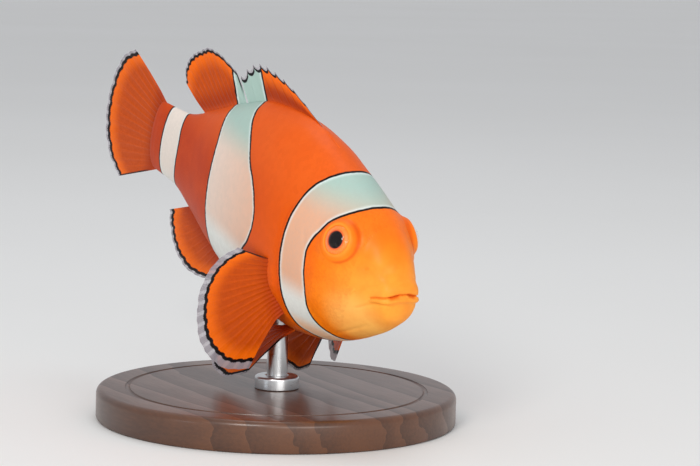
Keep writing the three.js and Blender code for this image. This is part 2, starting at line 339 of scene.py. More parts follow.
STEEL_DARK = paint(196, 198, 200)
STEEL_LIGHT = paint(222, 223, 224)
ROD_RADIUS = 1.5
ROD_BOTTOM = 1.5
ROD_TOP = 18.8
ROD_CHAMFER = 0.2
COLLAR_RADIUS = 3.2
COLLAR_BOTTOM = BASE_THICKNESS + 0.02
COLLAR_TOP = 6.4
COLLAR_ROUND = 0.4
COLLAR_CHAMFER = 0.12
COLLAR_PLAY = 0.03  # between the collar and the rod
MOUTH_CHAMFER = (0.17, 0.15)  # at the collar's upper mouth
rod_outline = [
    (0, ROD_BOTTOM),
    (ROD_RADIUS - ROD_CHAMFER, ROD_BOTTOM),
    (ROD_RADIUS, ROD_BOTTOM + ROD_CHAMFER),
    (ROD_RADIUS, ROD_TOP - ROD_CHAMFER),
    (ROD_RADIUS - ROD_CHAMFER, ROD_TOP),
    (0, ROD_TOP),
]
collar_outline = [
    (ROD_RADIUS + COLLAR_PLAY, COLLAR_BOTTOM),
    (COLLAR_RADIUS - COLLAR_CHAMFER, COLLAR_BOTTOM),
    (COLLAR_RADIUS, COLLAR_BOTTOM + COLLAR_CHAMFER),
    *rounded(COLLAR_RADIUS, COLLAR_TOP, COLLAR_ROUND, 7),
    (ROD_RADIUS + COLLAR_PLAY + MOUTH_CHAMFER[0], COLLAR_TOP),
    (ROD_RADIUS + COLLAR_PLAY, COLLAR_TOP - MOUTH_CHAMFER[1]),
]
steel = brushed_steel()
for name, outline in (("rod", rod_outline), ("collar", collar_outline)):
    metal = turned(f"steel_{name}", outline, steel, 96)
    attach(metal, "root")
    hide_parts(f"stand_{name}")

# ----------------------------------------
# The flesh: head, jaws, gill covers, trunk and tail stalk under one skin, without a seam. The
# skin is a ball of directions drawn out along the body profile, with the folds of the lips,
# jaws, nostrils, gill covers and eyelids raised on it, and is finest where those folds are.
# ----------------------------------------
LENGTH = 68.0  # snout to the end of the tail stalk
NOSE_DOWN = math.radians(14)
SNOUT = (31.1001, 0.0, 21.9809)  # the snout's tip above the base
WIDEST_LEVEL = -0.68  # height of the body's widest line
STALK_END = 1.03  # share of the length at which the stalk closes
SCALE_DEPTH = 0.1  # the skin lies this deep under the outside of the scales
SCALE_START = (3, 7)  # where it sinks to that depth, behind the snout
PROFILE = np.array([  # distance from the snout, back, belly, half-width, as shares of the length
    (0.00, -0.0100, -0.0100, 0.0000),
    (0.01, 0.0234, -0.0576, 0.0388),
    (0.03, 0.0550, -0.0818, 0.0486),
    (0.07, 0.1019, -0.1120, 0.0690),
    (0.12, 0.1354, -0.1425, 0.0968),
    (0.18, 0.1595, -0.1705, 0.1109),
    (0.25, 0.1874, -0.1912, 0.1153),
    (0.33, 0.2150, -0.2037, 0.1147),
    (0.43, 0.2290, -0.2060, 0.1074),
    (0.55, 0.2190, -0.1920, 0.0910),
    (0.68, 0.1750, -0.1570, 0.0700),
    (0.80, 0.1210, -0.1130, 0.0460),
    (0.90, 0.0880, -0.0830, 0.0300),
    (1.00, 0.0820, -0.0800, 0.0180),
])
EYE_APEX = np.array([-8.7, 7.0, 5.25])  # the left eye; the right one is its mirror image
EYE_AXIS = np.array([0.22, 0.92, 0.32])
EYE_AXIS /= np.linalg.norm(EYE_AXIS)
EYE_RADIUS = 2.45
EYE_HALF_DEPTH = 2.0
LID_RADIUS = 2.0  # where the skin meets the eyeball
LID_LIP = 0.06  # how far the lid's edge stands over the eyeball
TUCK_WIDTH = 0.18  # of the edge that is tucked in under it
TUCK_DEPTH = 0.5
RING_RADIUS = 2.15  # crest of the lid ring
RING_LEVEL = -0.8  # height of the crest over the eye's apex
LID_EDGE = 3.1  # where the lid ring runs out into the face
SOCKET_DEPTH = 4.0  # skin deeper than this is on another side of the head
MOUND = (0.35, 2.4, 4.3)  # height of the low mound round an eye, and where it falls off


def unit(vectors):
    return vectors / np.linalg.norm(vectors, axis=-1, keepdims=True)


def smoothstep(value, low, high):
    share = np.clip((value - low) / (high - low), 0, 1)
    return share * share * (3 - 2 * share)


def smooth_curve(places, heights):
    """A smooth curve through the given heights that never overshoots them."""
    places, heights = np.asarray(places, float), np.asarray(heights, float)
    slopes = np.diff(heights) / np.diff(places)
    before, after = slopes[:-1], slopes[1:]
    level = before * after <= 0
    total = np.where(level, 1, before + after)
    inner = np.where(level, 0, 2 * before * after / total)
    tangents = np.concatenate([slopes[:1], inner, slopes[-1:]])

    def height(place):
        i = np.clip(np.searchsorted(places, place) - 1, 0, len(slopes) - 1)
        run = places[i + 1] - places[i]
        s = np.clip((place - places[i]) / run, 0, 1)
        up = s * s * (3 - 2 * s)
        bulge = run * s * (1 - s) * (tangents[i] * (1 - s) - tangents[i + 1] * s)
        return heights[i] * (1 - up) + heights[i + 1] * up + bulge

    return height


back_curve, belly_curve, side_curve = [
    smooth_curve(np.sqrt(PROFILE[:, 0]), PROFILE[:, k]) for k in (1, 2, 3)
]


def section(at):
    """Rise of the back and fall of the belly from the widest line, and half-width, in mm."""
    root = np.sqrt(np.clip(at, 0, 1))
    taper = np.sqrt(1 - np.clip((at - 1) / (STALK_END - 1), 0, 1) ** 2)
    up = back_curve(root) * LENGTH - WIDEST_LEVEL
    down = WIDEST_LEVEL - belly_curve(root) * LENGTH
    return up * taper, down * taper, side_curve(root) * LENGTH * taper


def body_point(at, angle):
    """A point of the plain body, without folds, in mm."""
    up, down, width = section(at)
    height = np.where(np.sin(angle) > 0, up, down) * np.sin(angle)
    points = [-at * LENGTH + 0 * angle, width * np.cos(angle), WIDEST_LEVEL + height]
    return np.stack(points, axis=-1)


def on_left(points):
    """Places folded over onto the left half, because both halves are alike."""
    return points * [1, 0, 1] + np.abs(points) * [0, 1, 0]


def from_eye(points):
    """Height above the nearer eye's apex along its axis, and distance from that axis."""
    offset = on_left(points) - EYE_APEX
    height = offset @ EYE_AXIS
    return height, np.linalg.norm(offset - height[..., None] * EYE_AXIS, axis=-1)


def moved_along_eye(points, amount):
    side = np.where(points[..., 1:2] < 0, -1.0, 1.0)
    axis = EYE_AXIS * np.concatenate([side**2, side, side**2], axis=-1)
    return points + axis * amount[..., None]


def front_line(places):
    """A line on the front of the head through [y, z] places, in mm."""
    y, z = smooth_line(places).T
    low, high = np.full(len(y), 1e-6), np.full(len(y), 0.2)
    for _ in range(40):
        middle = (low + high) / 2
        up, down, width = section(middle)
        height = np.where(z > WIDEST_LEVEL, up, down)
        inside = (y / width) ** 2 + ((z - WIDEST_LEVEL) / height) ** 2 < 1
        low, high = np.where(inside, low, middle), np.where(inside, middle, high)
    return np.stack([-high * LENGTH, y, z], axis=-1)


def side_line(places):
    """A line on the side of the body through [x, z] places, in mm."""
    x, z = smooth_line(places).T
    up, down, width = section(-x / LENGTH)
    height = np.where(z > WIDEST_LEVEL, up, down)
    share = np.clip(1 - ((z - WIDEST_LEVEL) / height) ** 2, 0, 1)
    return np.stack([x, width * np.sqrt(share), z], axis=-1)


def smooth_line(places, steps=6):
    """More points along the smooth line through a few places."""
    places = np.asarray(places, float)
    ends = np.concatenate([2 * places[:1] - places[1:2], places, 2 * places[-1:] - places[-2:-1]])
    share = (np.arange(steps) / steps)[:, None]
    line = []
    for a, b, c, d in zip(ends, ends[1:], ends[2:], ends[3:]):
        bend = (2 * a - 5 * b + 4 * c - d) * share**2 + (3 * b - 3 * c + d - a) * share**3
        line.append(b + ((c - a) * share + bend) / 2)
    return np.concatenate([*line, places[-1:]])


def nearest(points, line):
    """Distance to a line, on which side of it points are (+ is behind), and its nearest places."""
    best = np.full(len(points), np.inf)
    behind = np.zeros(len(points))
    feet = np.zeros_like(points)
    for start, end in zip(line, line[1:]):
        run = end - start
        offset = points - start
        share = np.clip(offset @ run / (run @ run), 0, 1)
        gap = np.sum((offset - share[:, None] * run) ** 2, axis=1)
        closer = gap < best
        best = np.where(closer, gap, best)
        feet[closer] = (start + share[:, None] * run)[closer]
        turn = run[2] * offset[:, 0] - run[0] * offset[:, 2]
        behind = np.where(closer, np.sign(turn), behind)
    return np.sqrt(best), behind, feet


IN_FRONT = {  # [y, z] places, height in mm, less than 0 for a crease, and width
    "slit": ([(0, 0.1), (1, 0.02), (1.7, -0.2), (2.7, -0.5), (3.35, -0.9), (3.72, -1.27)], -0.26, 0.12),
    "opening": ([(0.35, -0.02), (0.9, -0.14), (1.7, -0.38), (2.5, -0.6)], -0.34, 0.27),
    "upper_lip": (
        [(0, 1.0), (1, 0.95), (1.8, 0.75), (2.6, 0.4), (3.3, -0.2), (3.85, -0.85)], 0.12, 0.75
    ),
    "lower_lip": (
        [(0, -0.62), (1, -0.7), (1.9, -0.86), (2.8, -1.08), (3.4, -1.38), (3.75, -1.72)], 0.26, 0.42
    ),
    "snout_dip": ([(0, 2.8), (1.4, 2.65), (2.6, 2.15), (3.4, 1.5)], -0.27, 0.8),
    "lip_step": ([(0, 2.0), (1.5, 1.85), (2.7, 1.3)], -0.07, 0.35),
    "upper_crease": ([(2.9, 1.15), (3.8, 0.3), (4.35, -0.35), (4.7, -1.0), (4.85, -1.7)], -0.1, 0.24),
    "lower_crease": ([(1.6, -1.6), (2.6, -1.5), (3.2, -1.7), (3.75, -2.4), (4.4, -3.6)], -0.12, 0.24),
    "chin": ([(0, -3.2), (2, -3.4), (3.6, -3.9)], 0.22, 1.6),
}
ON_THE_SIDE = {  # the same with [x, z] places
    "jaw_bone": ([(-3.2, -0.5), (-4.2, -1.2), (-5.2, -1.9)], 0.12, 0.55),
    "jaw_end": ([(-5.2, -0.45), (-5.75, -1.2), (-6.05, -2.1), (-5.95, -3.1)], -0.13, 0.24),
    "jaw_knob": ([(-5.1, -0.95), (-5.3, -1.3)], 0.13, 0.24),
    "nostril_rim": ([(-4.15, 2.5), (-4.4, 2.4)], 0.03, 0.5),
    "nostril": ([(-4.15, 2.5), (-4.4, 2.4)], -0.14, 0.2),
    "chin_fold": ([(-3.2, -5.2), (-5.2, -6.6), (-7.6, -8.1), (-10, -9.4)], -0.08, 0.35),
    "cheek_edge": (
        [(-15.6, 4.6), (-14.3, 2), (-13.7, -1), (-12.6, -5.2), (-9.8, -8.2)], -0.06, 0.32
    ),
    "pectoral_base": ([(-21.8, -2.2), (-20.9, -5.6), (-20.1, -9.2)], 0.5, 1.25),
}
GILL_EDGE = [
    (-18.7, 7.6), (-19.35, 5.1), (-19.7, 2), (-19.65, -0.9), (-19.3, -3.6), (-18.85, -6.2),
    (-18.2, -8.4), (-17, -10.4), (-15.2, -11.5),
]
FOLDS = [
    *[(front_line(places), height, width) for places, height, width in IN_FRONT.values()],
    *[(side_line(places), height, width) for places, height, width in ON_THE_SIDE.values()],
    (body_point(np.linspace(0.33, 0.83, 30), math.pi / 2), 0.3, 0.7),
    (body_point(np.linspace(0.63, 0.82, 16), -math.pi / 2), 0.3, 0.7),
]
GILL_LINE = side_line(GILL_EDGE)
GILL_FADE = 3  # over which the gill opening fades at its ends
COVER_HEIGHT = 0.2  # of the gill cover's edge over the plain body
COVER_SLOPE = 1.3  # how far ahead of the edge the cover rises
SLOT_DEPTH = 0.3  # of the opening behind the edge


def close_to(line, points, reach):
    """Which points are in a box round a line."""
    return np.all((points > line.min(0) - reach) & (points < line.max(0) + reach), axis=1)


def folds(points, lines=FOLDS):
    """Height of the folds above the plain body, in mm."""
    folded = on_left(points)
    height = -SCALE_DEPTH * smoothstep(-points[:, 0], *SCALE_START)
    for line, rise, width in lines:
        reach = 3 * width
        near = close_to(line, folded, reach)
        if not near.any():
            continue
        gap, _, _ = nearest(folded[near], line)
        fade = smoothstep(np.linalg.norm(folded[near] - line[-1], axis=1), 0, reach)
        if line[0, 1] > 0.1 or line[-1, 1] < 0.1:  # or else it goes on across the middle
            fade *= smoothstep(np.linalg.norm(folded[near] - line[0], axis=1), 0, reach)
        fade = np.maximum(fade, float(len(line) < 8))  # a line of two places is too short to fade
        height[near] += rise * fade * np.exp(-((gap / width) ** 2))
    near = close_to(GILL_LINE, folded, GILL_FADE)
    gap, behind, feet = nearest(folded[near], GILL_LINE)
    gap = gap * np.where(behind >= 0, 1, -1)
    ends = [smoothstep(np.linalg.norm(feet - e, axis=1), 0, GILL_FADE) for e in GILL_LINE[[0, -1]]]
    step = smoothstep(gap, -0.02, 0.14)
    cover = COVER_HEIGHT * np.exp(np.minimum(gap, 0) / COVER_SLOPE) * (1 - step)
    slot = SLOT_DEPTH * step * (1 - smoothstep(gap, 0.2, 1.5))
    height[near] += (cover - slot) * ends[0] * ends[1]
    return height


def smooth_place(ways):
    """Points of the body without folds, with a low mound round each eye."""
    ways = unit(ways)
    at = STALK_END * (1 - ways[..., 0]) / 2
    points = body_point(at, np.arctan2(ways[..., 2], ways[..., 1]))
    height, radius = from_eye(points)
    mound = MOUND[0] * (1 - smoothstep(radius, *MOUND[1:]))
    return moved_along_eye(points, np.where(height > -SOCKET_DEPTH, mound, 0))


def skin_place(ways):
    """Points of the skin, in mm, and its outward directions, for directions out of the ball."""
    tangent = unit(np.cross(ways, [0.36, 0.48, 0.8]))
    other = np.cross(ways, tangent)
    places = smooth_place(ways)
    small = 2e-4  # a step to each side, to feel how the surface lies
    out = unit(np.cross(smooth_place(ways + small * tangent) - places,
                        smooth_place(ways + small * other) - places))
    middle = places * [1, 0, 0] + [0, 0, WIDEST_LEVEL]
    facing = np.sum(out * (places - middle), axis=-1)
    facing = np.where(np.abs(ways[..., 0]) > 0.98, out[..., 0] * ways[..., 0], facing)
    out *= np.where(facing < 0, -1.0, 1.0)[..., None]
    places = places + out * folds(places)[..., None]
    return with_eyelids(places), out


def with_eyelids(points):
    """Sinks the skin under each eyeball, and rolls its edge into a lid ring round it."""
    height, radius = from_eye(points)
    share = np.clip(radius / EYE_RADIUS, 0, 1)
    ball = EYE_HALF_DEPTH * (np.sqrt(1 - share**2) - 1)
    tuck = 1 - smoothstep(radius, LID_RADIUS - TUCK_WIDTH, LID_RADIUS)
    lip = ball + LID_LIP - TUCK_DEPTH * tuck
    ring = RING_LEVEL - 0.3 * np.maximum(radius - RING_RADIUS, 0) ** 1.4
    soft = smoothstep(radius, LID_RADIUS, RING_RADIUS)
    level = lip * (1 - soft) + ring * soft
    upper = (points[..., 2] - EYE_APEX[2]) / np.maximum(radius, 1)
    edge = LID_EDGE + 0.3 * np.clip(upper, -1, 1)
    near = height > -SOCKET_DEPTH
    weight = (1 - smoothstep(radius, edge - 0.95, edge)) * near
    ahead = smoothstep(points[..., 0] - EYE_APEX[0], -1.5, 1.5)
    crease = -(0.03 + 0.06 * ahead) * np.exp(-(((radius - edge + 0.15) / 0.3) ** 2)) * near
    return moved_along_eye(points, (level - height) * weight + crease)


HEAD_END = -21  # the skin is finest ahead of this, in mm from the snout
HEAD_FINENESS = (0.0035, 0.075, 0.55)  # most bend of an edge, and its least and most length
TRUNK_FINENESS = (0.008, 0.12, 1.0)
FIRST_CUTS = 28
MOST_SPLITS = 8
ENOUGH_FACES = 155000


def split_where_bent(ways, faces, places):
    """Halves the edges of a mesh that are long, or that bend away from the true surface."""
    edges = np.sort(faces[:, [[0, 1], [1, 2], [2, 0]]], axis=2).reshape(-1, 2)
    pairs, which = np.unique(edges, axis=0, return_inverse=True)
    which = which.reshape(-1, 3)
    middles = unit(ways[pairs].sum(1))
    found, _ = skin_place(middles)
    ends = places[pairs]
    length = np.linalg.norm(ends[:, 0] - ends[:, 1], axis=1)
    bend = np.linalg.norm(found - ends.mean(1), axis=1)
    most_bend, least, most = np.where(found[:, :1] > HEAD_END, HEAD_FINENESS, TRUNK_FINENESS).T
    split = (bend > most_bend) & (length > least) | (length > most)
    longest = length[which].argmax(1)
    for _ in range(MOST_SPLITS):  # the longest edge goes with any other, or triangles grow thin
        touched = split[which].any(1)
        split[which[touched, longest[touched]]] = True
    numbers = np.where(split, np.cumsum(split) - 1 + len(ways), -1)
    marks = split[which]
    count = marks.sum(1)
    after_whole = np.where(count == 2, (marks.argmin(1) + 1) % 3, 0)
    first = np.where(count == 1, marks.argmax(1), after_whole)
    order = (first[:, None] + np.arange(3)) % 3
    a, b, c = np.take_along_axis(faces, order, axis=1).T
    ab, bc, ca = np.take_along_axis(numbers[which], order, axis=1).T
    plans = [
        (0, [(a, b, c)]),
        (1, [(a, ab, c), (ab, b, c)]),
        (2, [(ab, b, bc), (a, ab, bc), (a, bc, c)]),
        (3, [(a, ab, ca), (ab, b, bc), (ca, bc, c), (ab, bc, ca)]),
    ]
    parts = [np.stack(t, axis=-1)[count == number] for number, plan in plans for t in plan]
    return (
        np.concatenate([ways, middles[split]]),
        np.concatenate(parts),
        np.concatenate([places, found[split]]),
        int(split.sum()),
    )


def grid_faces(rows, columns):
    """Faces with four corners over a grid of points that are listed row by row."""
    row, column = np.indices((rows - 1, columns - 1))
    corner = (row * columns + column).ravel()
    return np.stack([corner, corner + columns, corner + columns + 1, corner + 1], axis=-1)


def ball_of_ways(cuts):
    """Directions over a ball, as a cube grid blown up, with triangles that face outwards."""
    side = np.tan(np.linspace(-1, 1, cuts + 1) * np.pi / 4)
    a, b = np.meshgrid(side, side, indexing="ij")
    sheet = np.stack([np.ones_like(a), a, b], axis=-1).reshape(-1, 3)
    quads = grid_faces(cuts + 1, cuts + 1)
    ways, faces = [], []
    for axis in range(3):
        for sign in (1, -1):
            faces.append(quads[:, ::sign] + len(ways) * len(sheet))
            ways.append(np.roll(sheet, axis, axis=1) * sign)
    ways, faces = unit(np.concatenate(ways)), np.concatenate(faces)
    _, keep, back_to = np.unique(np.round(ways, 6), axis=0, return_index=True, return_inverse=True)
    quads = back_to.reshape(-1)[faces]
    triangles = np.concatenate([quads[:, [0, 1, 2]], quads[:, [0, 2, 3]]])
    return ways[keep], triangles


def in_row(points):
    """Places in the fish's frame, in mm, as places above the base, in metres."""
    x, y, z = np.moveaxis(np.asarray(points, float), -1, 0)
    cos, sin = math.cos(NOSE_DOWN), math.sin(NOSE_DOWN)
    return (np.stack([x * cos + z * sin, y, z * cos - x * sin], axis=-1) + SNOUT) / 1000


skin_ways, skin_faces = ball_of_ways(FIRST_CUTS)
skin_points, _ = skin_place(skin_ways)
for _ in range(MOST_SPLITS):
    skin_ways, skin_faces, skin_points, added = split_where_bent(skin_ways, skin_faces, skin_points)
    if added == 0 or len(skin_faces) > ENOUGH_FACES:
        break


def fish_frame(finish):
    """Places in the fish's own frame, in mm."""
    sockets = {
        "Vector": finish.place(),
        "Location": [c / 1000 for c in SNOUT],
        "Rotation": (0, NOSE_DOWN, 0),
        "Scale": (0.001, 0.001, 0.001),
    }
    return finish.node("ShaderNodeMapping", {"vector_type": "TEXTURE"}, sockets)


def from_eye_axis(finish, place):
    """Distance from the nearer eye's axis, in mm."""
    across = finish.vectors("MULTIPLY", finish.vectors("ABSOLUTE", place), (0, 1, 0))
    folded = finish.vectors("ADD", finish.vectors("MULTIPLY", place, (1, 0, 1)), across)
    offset = finish.vectors("SUBTRACT", folded, EYE_APEX.tolist())
    height = finish.vectors("DOT_PRODUCT", offset, EYE_AXIS.tolist())["Value"]
    reach = finish.vectors("LENGTH", offset)["Value"]
    return finish.most(reach * reach - height * height, 0.0) ** 0.5


FACE_CENTRE = -4.0  # the nape bar curves round this place, in mm from the snout
NAPE_BAR_FRONT = [  # x and z of the edges, in mm
    (-8.9, 9.5), (-10.1, 8.4), (-11.0, 7.5), (-11.8, 6.5), (-12.5, 5.2), (-13.3, 3.8), (-13.8, 2.3),
    (-13.8, 0.9), (-13.6, -0.7), (-13.3, -2.3), (-13.0, -4.4), (-12.7, -6.6), (-11.7, -8.3),
    (-10.6, -9.3), (-9.6, -10.1),
]
NAPE_BAR_REAR = [
    (-15.5, 12.1), (-17.1, 10.3), (-18.2, 8.0), (-18.8, 5.1), (-19.1, 2.1), (-19.0, -0.9),
    (-18.7, -3.5), (-18.3, -6.0), (-17.7, -8.2), (-16.6, -10.2), (-15.0, -11.1), (-13.4, -11.6),
    (-11.7, -11.4), (-10.1, -10.9),
]
MIDDLE_BAR_FRONT = [  # z and x of the edges, in mm
    (22, -45.5), (17, -42.0), (13, -38.9), (9.8, -35.6), (7.6, -33.4), (5.4, -30.6), (3.2, -28.8),
    (1, -28.0), (-1.4, -28.4), (-4, -30.2), (-8, -33.2), (-14, -35.6),
]
MIDDLE_BAR_REAR = [
    (22, -52.6), (16, -50.0), (12, -47.6), (9, -46.0), (6, -45.0), (1, -44.6), (-6, -44.2),
    (-14, -43),
]
TAIL_BAR_FRONT = [(8, -61.4), (4, -59.6), (0, -58.8), (-4, -59.4), (-8, -61)]
TAIL_BAR_REAR = [(8, -64.6), (3, -64.9), (-2, -64.9), (-8, -64.4)]
TAIL_BAR_TOP = 8.5  # it stays off the dorsal fin
FACE_ORANGE = paint(254, 132, 12)
SNOUT_YELLOW_AND_HIGHLIGHT = paint(255, 164, 58)
CHIN_YELLOW_AND_HIGHLIGHT = paint(255, 188, 96)
BROW_RED = paint(255, 118, 24)
CHEEK_ORANGE = paint(250, 94, 0)
SHOULDER_ORANGE = paint(226, 88, 0)
REAR_ORANGE_AND_SHADE = paint(184, 56, 0)
BACK_RED_AND_SHEEN = paint(232, 98, 28)
BELLY_ORANGE = paint(248, 128, 10)
DEEP_ORANGE = paint(226, 84, 0)
CREASE_SHADE = paint(214, 78, 0)
LID_YELLOW_AND_HIGHLIGHT = paint(255, 164, 60)
BAR_WARM_AND_REFLECTION = paint(226, 172, 140)
BAR_COOL_LIGHT_FROM_ABOVE = paint(168, 194, 184)
BAR_PALE = paint(232, 234, 228)
BAR_BLUSH = paint(255, 206, 164)
BAR_RIM = paint(226, 236, 234)
SCALE_SHADE = paint(196, 66, 0)
WHITE_SHADE = paint(170, 168, 162)
EDGE_BLACK = paint(20, 14, 14)
EDGE_WIDTH = 0.34  # of the black edges
SLOPE_STEP = 0.4  # for the lean of a bar's edge


def paint_fish(finish):
    """Places on the fish in mm, its orange, its white and its bars, for skin, scales or fins."""
    place = fish_frame(finish)
    parts = finish.node("ShaderNodeSeparateXYZ", {}, {"Vector": place})
    x, z = parts["X"], parts["Z"]
    wobble = finish.noise(place, 0.9, 3.0) - 0.5

    # Depth in the bars from their nearer edge; the nape bar's edges go round the face
    ahead = FACE_CENTRE - x
    angle = finish.maths("ARCTAN2", z, ahead)
    distance = (ahead * ahead + z * z) ** 0.5
    front, rear = [
        finish.along(angle, [
            (math.atan2(up, FACE_CENTRE - on), math.hypot(FACE_CENTRE - on, up)) for on, up in edge
        ])
        for edge in (NAPE_BAR_FRONT, NAPE_BAR_REAR)
    ]
    bars = finish.least(distance - front, rear - distance)
    face = front - distance
    for pair in ((MIDDLE_BAR_FRONT, MIDDLE_BAR_REAR), (TAIL_BAR_FRONT, TAIL_BAR_REAR)):
        gaps = []
        for edge, way in zip(pair, (-1.0, 1.0)):
            rise = finish.along(z + SLOPE_STEP, edge) - finish.along(z - SLOPE_STEP, edge)
            slope = rise / (2 * SLOPE_STEP)
            gaps.append((x - finish.along(z, edge)) * way / (1.0 + slope * slope) ** 0.5)
        within = finish.least(*gaps)
        if pair[0] is TAIL_BAR_FRONT:
            within = finish.least(within, TAIL_BAR_TOP - z)
        bars = finish.most(bars, within)
    bars = bars + wobble * 0.22

    # Orange: yellower on snout and jaws and redder on brow and back, partly painted highlight and
    # sheen, and deepest at the rear, partly painted shade
    # Lighter and yellower on the snout and under the jaw, partly a painted highlight
    snout = 1 - finish.rise(((x + 2.5) ** 2 + (z + 3.8) ** 2 * 0.6) ** 0.5, 2.0, 9.0)
    chin = 1 - finish.rise(((x + 5.0) ** 2 + (z + 5.5) ** 2) ** 0.5, 1.5, 5.5)
    brow = finish.rise(z, 3.0, 8.0)
    cheek = finish.rise(-x, 9.5, 14.0) * finish.rise(z, -8.0, 0.0)
    head = finish.laid_over(
        FACE_ORANGE,
        (snout, SNOUT_YELLOW_AND_HIGHLIGHT),
        (chin * 0.8, CHIN_YELLOW_AND_HIGHLIGHT),
        (brow * 0.8, BROW_RED),
        (cheek * 0.7, CHEEK_ORANGE),
    )
    trunk = finish.laid_over(
        SHOULDER_ORANGE,
        # Darker towards the tail: a deeper orange, partly painted shade
        (finish.rise(-x, 20.0, 42.0), REAR_ORANGE_AND_SHADE),
        # Redder along the back, with a painted pinkish sheen
        (finish.rise(z, 3.0, 11.0) * 0.75, BACK_RED_AND_SHEEN),
        (finish.rise(-z, 6.0, 13.0) * 0.5, BELLY_ORANGE),
    )
    mottle = finish.rise(finish.noise(place, 0.35, 4.0, 0.6), 0.3, 0.75)

    # A pale lid ring, partly a painted highlight, and painted shade in the crease round it and in the
    # skin's creases
    from_axis = from_eye_axis(finish, place)
    lid = finish.rise(from_axis, 1.9, 2.1) * (1 - finish.rise(from_axis, 2.2, 2.6))
    line = finish.rise(from_axis, 2.6, 2.95) * (1 - finish.rise(from_axis, 2.95, 3.35))
    orange = finish.laid_over(
        trunk,
        (finish.rise(face, -0.5, 0.5), head),
        (mottle * 0.25, DEEP_ORANGE),
        (lid * 0.5, LID_YELLOW_AND_HIGHLIGHT),
        (line * (0.25 + 0.5 * finish.rise(x, -9.5, -7.5)), CREASE_SHADE),
        (finish.rise(finish.measure("depth"), 0.05, 0.45) * 0.8, CREASE_SHADE),
    )

    # White: warm ahead, partly a painted warm reflection, paler to the rear, with a painted bluish
    # light from above on the back, and brightest at its edges
    throat = finish.rise(-z, 8.0, 10.5) * finish.rise(x, -26.0, -20.0)
    white = finish.laid_over(
        BAR_WARM_AND_REFLECTION,
        (finish.rise(-x, 18.0, 56.0) * 0.7, BAR_PALE),
        (finish.rise(z, 5.8, 11.2), BAR_COOL_LIGHT_FROM_ABOVE),
        (finish.rise(-z, 2.5, 6.5), BAR_PALE),
        (throat, BAR_BLUSH),
        (0.6 - finish.rise(bars, 0.1, 0.6) * 0.6, BAR_RIM),
    )
    return {"place": place, "bars": bars, "orange": orange, "white": white}


def with_bars(finish, fish, colour):
    """Lays white bars with thin black edges over a colour."""
    dark = finish.rise(fish["bars"], -EDGE_WIDTH - 0.06, -EDGE_WIDTH + 0.08)
    white = finish.rise(fish["bars"], -0.02, 0.1)
    return finish.laid_over(colour, (dark, EDGE_BLACK), (white, fish["white"]))


def fish_skin(name):
    """Skin or scale: the same markings, with a slightly different tone for each scale."""
    finish = Finish(name)
    fish = paint_fish(finish)
    pores = finish.noise(fish["place"], 7.0, 3.0, 0.6)
    tone = finish.measure("tone")
    fish["white"] = finish.mix(tone * 0.1, fish["white"], WHITE_SHADE)
    fish["orange"] = finish.mix(tone * 0.16, fish["orange"], SCALE_SHADE)
    wet = finish.coat({
        "Base Color": with_bars(finish, fish, fish["orange"]),
        "Roughness": 0.36 + 0.14 * pores,
        "Specular IOR Level": 0.12,
        "Normal": finish.bumps(pores, 0.3, 0.00003),
        "Coat Weight": 0.05,
        "Coat Roughness": 0.22,
    })
    return finish.surface(wet)


# How deep each point lies in the fine creases, kept on the skin as depth for the painted shade in them
creases = [fold for fold in FOLDS if fold[1] < 0 and fold[2] < 0.35]
unfolded = smooth_place(skin_ways)
depth = np.maximum(folds(unfolded, []) - folds(unfolded, creases), 0)
depth *= smoothstep(skin_points[:, 0], -7, -6)
skin = piece("skin", in_row(skin_points), skin_faces, fish_skin("wet_skin"), {"depth": depth})
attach(skin, "root")
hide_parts("head", "lower_jaw", "gill_cover_left", "gill_cover_right", "trunk", "tail_stalk")

# ----------------------------------------
# The scales: thin round-edged plates set in the skin like roof tiles, root end under and free
# edge towards the tail, about 1.1 mm across on the trunk and half that on cheeks and gill covers.
# They are set out flat in staggered rows, and then laid on the shape of the skin.
# ----------------------------------------
ROW_PITCH = 0.41  # between staggered rows, in widths of a column
PLATE_CORNERS = 12
PLATE_MIDDLE = 0.1  # sizes of a plate, in widths of a column
PLATE_HALF_LENGTH = 0.8
PLATE_HALF_WIDTH = 0.57
PLATE_TOP = 0.93  # the flat of a plate, as a share of its outline
PLATE_ROOT = 0.06  # how far the underside is sunk in the skin
PLATE_LIFT = 0.016
PLATE_TILT = 0.05
PLATE_DOME = 0.004
BAKE_PATCH = 0.003 / (2 * PLATE_HALF_LENGTH)  # size of a scale on the map
BARE_SNOUT = -5.8  # no scales ahead of this, in mm from the snout
BARE_ROUND_EYE = 3.3
BARE_AT_GILLS = (0.55, 0.95)  # ahead of the gill opening and behind it
GUIDE_MARGIN = 0.06  # how far a guide sheet goes on past the scales
GUIDE_POINTS = (320, 300)  # along it and round it
MAP_MARGIN = 0.02  # left free round the map of the scales
COATS = {  # start and end along the body, columns around it, and the material slot
    "head": (0.08, 0.287, 124, "head_skin"),
    "shoulder": (0.287, 0.6, 60, "body_skin"),
    "rear": (0.6, 0.985, 46, "body_skin"),
}


def ways_round(at, shares):
    """Directions out of the ball for even shares of the way round the body, from the belly up."""
    even = np.linspace(-0.25, 0.75, 361)
    ring = body_point(at, 2 * math.pi * even)
    run = np.concatenate([[0], np.cumsum(np.linalg.norm(np.diff(ring, axis=0), axis=1))])
    whole = np.floor(shares)
    angle = 2 * math.pi * (np.interp((shares - whole) * run[-1], run, even) + whole)
    ahead = 1 - 2 * at / STALK_END
    across = math.sqrt(1 - ahead**2)
    ways = [np.full(len(angle), ahead), across * np.cos(angle), across * np.sin(angle)]
    return np.stack(ways, axis=-1), run[-1]


